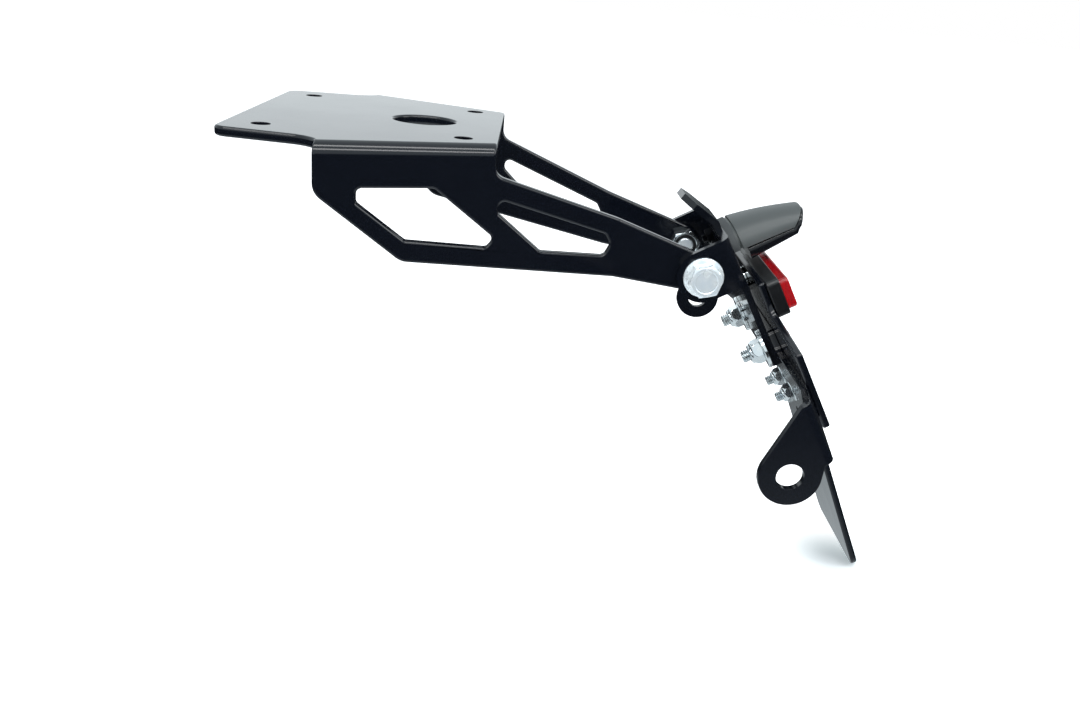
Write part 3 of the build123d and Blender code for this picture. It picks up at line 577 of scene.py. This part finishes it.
# grids on the hanger as one piece; each grid joins up round its first direction and ends in poles
def hangerPiece(stands, ending, grids):
    faces = []
    count = 0
    for grid in grids:
        faces.append(gridQuads(*grid.shape[:2]) + count)
        count += grid.shape[0] * grid.shape[1]
    points = np.concatenate([hangerPoints(grid) for grid in grids])
    name = f"{stands}_{ending}"
    mesh = closedMesh(name, points, np.concatenate(faces), mouldedWork["join"], mouldedWork["sharp"])
    addPiece(name, mesh, stands)


# a value at a share of the way from the first of a pair to the second
def between(pair, share):
    return pair[0] + (pair[1] - pair[0]) * share


# a wave squared up or rounded off: its sign times its size to a power
def shaped(wave, power):
    return np.sign(wave) * np.abs(wave) ** power


# lamp hood: arches stand on a sloping floor line, and lean more and shrink towards the nose;
# an arch is across = half width * cos(w) ** k and rise = height * sin(w) ** k,
# for w from 0 to pi and k = 2 / fullness
hood = {
    "along": (21.6, 46.4), "floor": (-0.9, -2.9), "halfWidth": (17.0, 12.2), "height": (11.2, 9.1),
    "lean": 50, "fullness": 2.3, "wall": 1.5, "edge": 0.4,
    "stations": 41, "archSteps": 61, "floorSteps": 25, "rimSteps": 6,
    "middle": 0.42,  # where the plates have their poles, as a share of the height
    "backWall": {"front": 20.4, "back": 23.0, "inset": 1.2, "edge": 0.2},
}
gasket = {"front": 16.5, "back": 20.5, "inset": 0.0, "edge": 0.45}
archTurn = np.linspace(0, pi, hood["archSteps"])
archAcross = shaped(np.cos(archTurn), 2 / hood["fullness"])
archRise = shaped(np.sin(archTurn), 2 / hood["fullness"])
rimTurn = np.linspace(0, pi / 2, hood["rimSteps"])
rimUp = np.sin(rimTurn)
rimIn = 1 - np.cos(rimTurn)


# arches at shares along the hood, each drawn in from the outside by some mm
def hoodArches(share, inset):
    share = np.array(share)[None, :]
    inset = np.array(inset)[None, :]
    low, half, height = (between(hood[key], share) for key in ("floor", "halfWidth", "height"))
    foot = between(hood["along"], share)
    rise = (height - inset) * archRise[:, None]
    lean = radians(hood["lean"]) * share
    sideways = (half - inset) * archAcross[:, None]
    return np.stack([sideways, low + rise * np.cos(lean), foot + rise * np.sin(lean)], -1)


# a plate with the outline of the hood's back end, drawn in by some mm,
# with a rim that is a quarter round each side
def archPlate(front, back, inset, edge):
    half = hood["halfWidth"][0]
    height = hood["height"][0]
    floorAcross = np.linspace(-1, 1, hood["floorSteps"])[1:-1]
    arch = np.stack([archAcross * half, archRise * height], -1)
    outline = np.concatenate([arch, np.stack([floorAcross * half, 0 * floorAcross], -1)])
    middle = np.array([0, hood["middle"] * height])
    spoke = outline - middle
    reach = np.linalg.norm(spoke, axis=1, keepdims=True)
    drawn = inset + edge * np.concatenate([1 - rimUp, rimIn])
    layers = np.concatenate([[front], front + edge * rimIn, back - edge + edge * rimUp, [back]])
    rings = middle + spoke[:, None, :] * np.maximum(1 - drawn[None, :] / reach, 0)[..., None]
    pole = np.broadcast_to(middle, (len(outline), 1, 2))
    flat = np.concatenate([pole, rings, pole], 1) + np.array([0, hood["floor"][0]])
    return np.concatenate([flat, np.broadcast_to(layers[None, :, None], flat.shape[:2] + (1,))], -1)


# the shell: out along the hood with rounded ends, and back along the inside of its wall
hoodLong = hood["along"][1] - hood["along"][0]
hoodTip = hood["edge"] / hoodLong
halfWall = hood["wall"] / 2
hoodMiddle = np.linspace(hoodTip, 1 - hoodTip, hood["stations"])[1:-1]
hoodShare = np.concatenate([[0], hoodTip * (1 - rimUp[::-1]), hoodMiddle, 1 - hoodTip + hoodTip * rimUp, [1]])
outerInset = np.concatenate([[halfWall], hood["edge"] * rimIn[::-1], np.zeros(len(hoodMiddle)),
                             hood["edge"] * rimIn, [halfWall]])
innerInset = np.concatenate([[halfWall], np.full(len(hoodShare) - 2, hood["wall"]), [halfWall]])
hoodGrid = np.concatenate([hoodArches(hoodShare, outerInset), hoodArches(hoodShare, innerInset)[::-1]])
hangerPiece("lamp_housing", "arched", [hoodGrid, archPlate(**hood["backWall"])])
hangerPiece("lamp_gasket", "arched", [archPlate(**gasket)])

# lamp lens: a rounded bar section carried along the floor of the hood and up the front of its nose;
# the section is a squared ellipse: half width * cos ** k by half thickness * sin ** k, for k = 1 / squareness
lens = {
    "start": 24.0, "floorEnd": 0.97, "floorRows": 30, "floorThick": (6.9, 4.3),
    "noseRise": (0.8, 8.3), "noseRows": 16, "noseThick": (3.4, 1.2),
    "bendRows": 2, "margin": 0.7, "squareness": 3, "steps": 56,
}
floorShare = np.linspace((lens["start"] - hood["along"][0]) / hoodLong, lens["floorEnd"], lens["floorRows"])
noseRise = np.linspace(*lens["noseRise"], lens["noseRows"])
noseLean = radians(hood["lean"])
floorSlope = (hood["floor"][1] - hood["floor"][0]) / hoodLong
floorPath = np.stack([between(hood["along"], floorShare), between(hood["floor"], floorShare)], -1)
noseFoot = np.array([hood["along"][1], hood["floor"][1]])
nosePath = noseFoot + noseRise[:, None] * np.array([sin(noseLean), cos(noseLean)])
lensPath = np.concatenate([floorPath, nosePath])
noseFull = hood["fullness"]
noseHalf = hood["halfWidth"][1] * (1 - (noseRise / hood["height"][1]) ** noseFull) ** (1 / noseFull)
lensHalf = np.concatenate([between(hood["halfWidth"], floorShare), noseHalf]) - lens["margin"]
lensThick = np.concatenate([np.linspace(*lens["floorThick"], lens["floorRows"]),
                            np.linspace(*lens["noseThick"], lens["noseRows"])])
lensOut = np.concatenate([np.broadcast_to([floorSlope, -1.0], floorPath.shape),
                          np.broadcast_to([cos(noseLean), -sin(noseLean)], nosePath.shape)])
bend = slice(lens["floorRows"] - lens["bendRows"], lens["floorRows"] + lens["bendRows"])
lensOut[bend] = lensOut[bend].mean(0)
lensOut /= np.linalg.norm(lensOut, axis=1, keepdims=True)
sectionTurn = np.arange(lens["steps"]) * 2 * pi / lens["steps"]
sectionAcross = shaped(np.cos(sectionTurn), 1 / lens["squareness"])
sectionDeep = 0.5 + 0.5 * shaped(np.sin(sectionTurn), 1 / lens["squareness"])
lensPlace = lensPath[None] + lensOut[None] * (lensThick[None] * sectionDeep[:, None])[..., None]
lensGrid = np.stack([lensHalf[None] * sectionAcross[:, None], lensPlace[..., 1], lensPlace[..., 0]], -1)
lensPoles = np.broadcast_to(lensGrid.mean(0, keepdims=True), lensGrid.shape)
hangerPiece("lamp_lens", "shaped", [np.concatenate([lensPoles[:, :1], lensGrid, lensPoles[:, -1:]], 1)])
print("lamp made")

# prisms: a sheet of four-sided points behind the red lens;
# a point's height falls with the larger of its two distances
prisms = {
    "width": 80.6, "height": 12.6, "pitch": 2.6, "base": 0.4, "peak": 1.4,
    "layer": 28.3, "middle": -19.3,
}
columns = 2 * round(prisms["width"] / prisms["pitch"]) + 1
rows = 2 * round(prisms["height"] / prisms["pitch"]) + 1
prismAcross = np.linspace(-0.5, 0.5, columns) * prisms["width"]
prismUp = np.linspace(-0.5, 0.5, rows) * prisms["height"]
y, up = np.meshgrid(prismAcross, prismUp, indexing="ij")
tops = np.outer(np.arange(columns) % 2, np.arange(rows) % 2) * prisms["peak"]
layers = (prisms["layer"] + prisms["base"] + tops, np.full(y.shape, prisms["layer"]))
prismGrid = np.stack([np.stack([y, up + prisms["middle"], layer], -1) for layer in layers])
# each quad of the front folds along the diagonal that meets a point, and a wall joins front and flat back
index = np.arange(columns * rows).reshape(columns, rows)
front = np.stack([index[:-1, :-1], index[1:, :-1], index[1:, 1:], index[:-1, 1:]], -1).reshape(-1, 4)
onDiagonal = tops.reshape(-1)[front][:, [0, 2]].sum(1) > 0
oneWay = front[:, [[0, 1, 2], [0, 2, 3]]]
otherWay = front[:, [[1, 2, 3], [1, 3, 0]]]
folded = np.where(onDiagonal[:, None, None], oneWay, otherWay)
back = front[:, ::-1] + columns * rows
rim = np.concatenate([index[:, 0], index[-1, 1:], index[-2::-1, -1], index[0, -2:0:-1]])
nextRim = np.roll(rim, -1)
prismWall = np.stack([rim, rim + columns * rows, nextRim + columns * rows, nextRim], -1)
prismFaces = folded.reshape(-1, 3).tolist() + back.tolist() + prismWall.tolist()
prismMesh = bpy.data.meshes.new("reflector_prisms")
prismMesh.from_pydata(hangerPoints(prismGrid).tolist(), [], prismFaces)
addPiece("reflector_prisms", prismMesh, "reflector_lens", ownFinishes["prisms"], replaces=False)
print("prisms made:", columns // 2 * (rows // 2))

# floor: white paper that keeps the real shadows and glows to white further off; around a point under the
# tongue's tip its glow is dimmed and tinted blue, a painted shadow (sizes in metres)
# glow and its colours: dim and bluish at the middle, which paints the shadow, bright and white far off;
# middle and reach: where the painted shadow lies, and the distances over which it fades out
floorLook = {
    "colour": "#f4f7fa", "glow": (0.2, 0.95), "paintedShadowAndWhiteTints": ("#e9fcff", "#ffffff"),
    "middle": (0.273, -0.025), "reach": (0.002, 0.036), "size": 30.0, "gap": 0.0002,
}
floorHeight = cadBox[0].z - floorLook["gap"]
floorHalf = floorLook["size"] / 2
floorCorners = [(x * floorHalf, y * floorHalf, floorHeight) for x, y in ((-1, -1), (1, -1), (1, 1), (-1, 1))]
floorMesh = bpy.data.meshes.new("floor")
floorMesh.from_pydata(floorCorners, [], [(0, 1, 2, 3)])
floor = bpy.data.objects.new("floor", floorMesh)
scene.collection.objects.link(floor)
paperWithPaintedShadow, tree = newMaterial("WhitePaperWithPaintedShadow")
rays = addNode(tree, "ShaderNodeLightPath")
matt = addNode(tree, "ShaderNodeBsdfDiffuse", {"Color": linear(floorLook["colour"])})
place = addNode(tree, "ShaderNodeTexCoord").outputs["Object"]
# the painted shadow: the glow is dimmest and bluest around this point under the tongue's tip
paintedShadowMiddle = (*floorLook["middle"], floorHeight)
distance = addNode(tree, "ShaderNodeVectorMath", {"operation": "DISTANCE", 1: paintedShadowMiddle}, {0: place})
outOfPaintedShadow = addNode(tree, "ShaderNodeMapRange", {
    "interpolation_type": "SMOOTHSTEP", "From Min": floorLook["reach"][0], "From Max": floorLook["reach"][1],
}, {"Value": distance.outputs["Value"]})
# glow strength: low inside the painted shadow, high far off
paintedShadowGlow, farGlow = floorLook["glow"]
strength = addNode(tree, "ShaderNodeMapRange", {"To Min": paintedShadowGlow, "To Max": farGlow},
                   {"Value": outOfPaintedShadow.outputs["Result"]})
# glow tint: bluish inside the painted shadow, white far off
paintedShadowTint, farTint = (linear(colour) for colour in floorLook["paintedShadowAndWhiteTints"])
tint = addNode(tree, "ShaderNodeMix", {"data_type": "RGBA", firstColour: paintedShadowTint, secondColour: farTint},
               {mixFactor: outOfPaintedShadow.outputs["Result"]})
glow = addNode(tree, "ShaderNodeEmission", {},
               {"Color": tint.outputs[colourResult], "Strength": strength.outputs["Result"]})
lit = addNode(tree, "ShaderNodeAddShader", {}, {0: matt.outputs[0], 1: glow.outputs[0]})
clear = addNode(tree, "ShaderNodeBsdfTransparent")
seen = addNode(tree, "ShaderNodeMixShader", {},
               {0: rays.outputs["Is Glossy Ray"], 1: lit.outputs[0], 2: clear.outputs[0]})
addNode(tree, "ShaderNodeOutputMaterial", {}, {"Surface": seen.outputs[0]})
floorMesh.materials.append(paperWithPaintedShadow)

# world: a white room with a dark band below the horizon, higher to the right, which polished faces show;
# the eye sees white all round
room = {
    "white": 1.0, "dark": 0.03, "fill": 0.42, "tints": ("#e6f1f6", "#ffffff"),
    "right": (0.35, 1.0), "rightRise": 0.35,
    "top": (-0.12, 0.05), "bottom": (-0.62, -0.36), "bottomShade": 0.25,
}
world = bpy.data.worlds.new("Studio")
scene.world = world
world.use_nodes = True
tree = world.node_tree
tree.nodes.clear()
rays = addNode(tree, "ShaderNodeLightPath")
direction = addNode(tree, "ShaderNodeTexCoord")
parts = addNode(tree, "ShaderNodeSeparateXYZ", {}, {0: direction.outputs["Generated"]})
bandRise = addNode(tree, "ShaderNodeMapRange", {
    "From Min": room["right"][0], "From Max": room["right"][1], "To Max": room["rightRise"],
}, {"Value": parts.outputs["X"]})
bandHeight = addNode(tree, "ShaderNodeMath", {"operation": "SUBTRACT"},
                     {0: parts.outputs["Z"], 1: bandRise.outputs["Result"]})
bandTop = addNode(tree, "ShaderNodeMapRange", {
    "interpolation_type": "SMOOTHSTEP", "From Min": room["top"][0], "From Max": room["top"][1],
    "To Min": 1.0, "To Max": 0.0,
}, {"Value": bandHeight.outputs[0]})
bandBottom = addNode(tree, "ShaderNodeMapRange", {
    "interpolation_type": "SMOOTHSTEP", "From Min": room["bottom"][0], "From Max": room["bottom"][1],
    "To Min": room["bottomShade"], "To Max": 1.0,
}, {"Value": parts.outputs["Z"]})
shade = addNode(tree, "ShaderNodeMath", {"operation": "MULTIPLY"},
                {0: bandTop.outputs["Result"], 1: bandBottom.outputs["Result"]})
walls = addNode(tree, "ShaderNodeMapRange", {"To Min": room["white"], "To Max": room["dark"]},
                {"Value": shade.outputs[0]})
mirrored = addNode(tree, "ShaderNodeMix", {"data_type": "FLOAT", firstNumber: room["fill"]},
                   {mixFactor: rays.outputs["Is Glossy Ray"], secondNumber: walls.outputs["Result"]})
eye = addNode(tree, "ShaderNodeMath", {"operation": "MAXIMUM"},
              {0: rays.outputs["Is Camera Ray"], 1: rays.outputs["Is Transmission Ray"]})
level = addNode(tree, "ShaderNodeMix", {"data_type": "FLOAT", secondNumber: room["white"]},
                {mixFactor: eye.outputs[0], firstNumber: mirrored.outputs[numberResult]})
roomTint, eyeTint = (linear(colour) for colour in room["tints"])
tint = addNode(tree, "ShaderNodeMix", {"data_type": "RGBA", firstColour: roomTint, secondColour: eyeTint},
               {mixFactor: eye.outputs[0]})
sky = addNode(tree, "ShaderNodeBackground", {},
              {"Color": tint.outputs[colourResult], "Strength": level.outputs[numberResult]})
addNode(tree, "ShaderNodeOutputWorld", {}, {"Surface": sky.outputs[0]})

# lamps: two tubes over the part, which draw its bends and edges as bright lines,
# a soft box beyond it and one behind it
lampSets = {
    "tubeAbove": {"at": (0.12, -0.21, 0.74), "aim": (0.12, 0, -0.05), "size": (1.3, 0.15), "watts": 3.9},
    "tubeFront": {"at": (0.12, -0.58, 0.55), "aim": (0.12, 0, -0.05), "size": (1.3, 0.13), "watts": 3.6},
    "softBoxBeyond": {"at": (0.3, 1.0, 0.17), "aim": (0.15, 0, 0.0), "size": (2.4, 0.32), "watts": 0.95},
    "softBoxBehind": {"at": (0.85, -0.1, 0.35), "aim": (0.2, 0, -0.08), "size": (0.4, 0.4), "watts": 1.2},
}
for name, box in lampSets.items():
    lamp = bpy.data.lights.new(name, "AREA")
    lamp.energy = box["watts"]
    lamp.shape = "RECTANGLE"
    lamp.size, lamp.size_y = box["size"]
    holder = bpy.data.objects.new(name, lamp)
    holder.location = box["at"]
    holder.rotation_euler = (Vector(box["at"]) - Vector(box["aim"])).to_track_quat("Z", "Y").to_euler()
    scene.collection.objects.link(holder)
print("studio made")

# camera: matched to the photograph's edges and holes;
# it looks level along y, and then turns about the eye's own x, y and z
view = {
    "place": (0.10167387, -0.42683914, 0.06035248), "turns": (0.37743, -0.03762, 0.07877),
    "lens": 31.667, "sensor": 36, "near": 0.01,
}
pitch, yaw, roll = view["turns"]
turned = Matrix.Rotation(roll, 3, "Z") @ Matrix.Rotation(yaw, 3, "Y") @ Matrix.Rotation(pitch, 3, "X")
toEye = turned @ Matrix(((1, 0, 0), (0, 0, -1), (0, 1, 0)))  # the eye's x is right, y down and z forwards
flip = Matrix(((1, 0, 0), (0, -1, 0), (0, 0, -1)))  # Blender's cameras look along -z with y up
camera = bpy.data.objects.new("camera", bpy.data.cameras.new("camera"))
camera.matrix_world = Matrix.Translation(view["place"]) @ (toEye.transposed() @ flip).to_4x4()
camera.data.lens = view["lens"]
camera.data.sensor_width = view["sensor"]
camera.data.clip_start = view["near"]
scene.collection.objects.link(camera)
scene.camera = camera
print("camera placed")
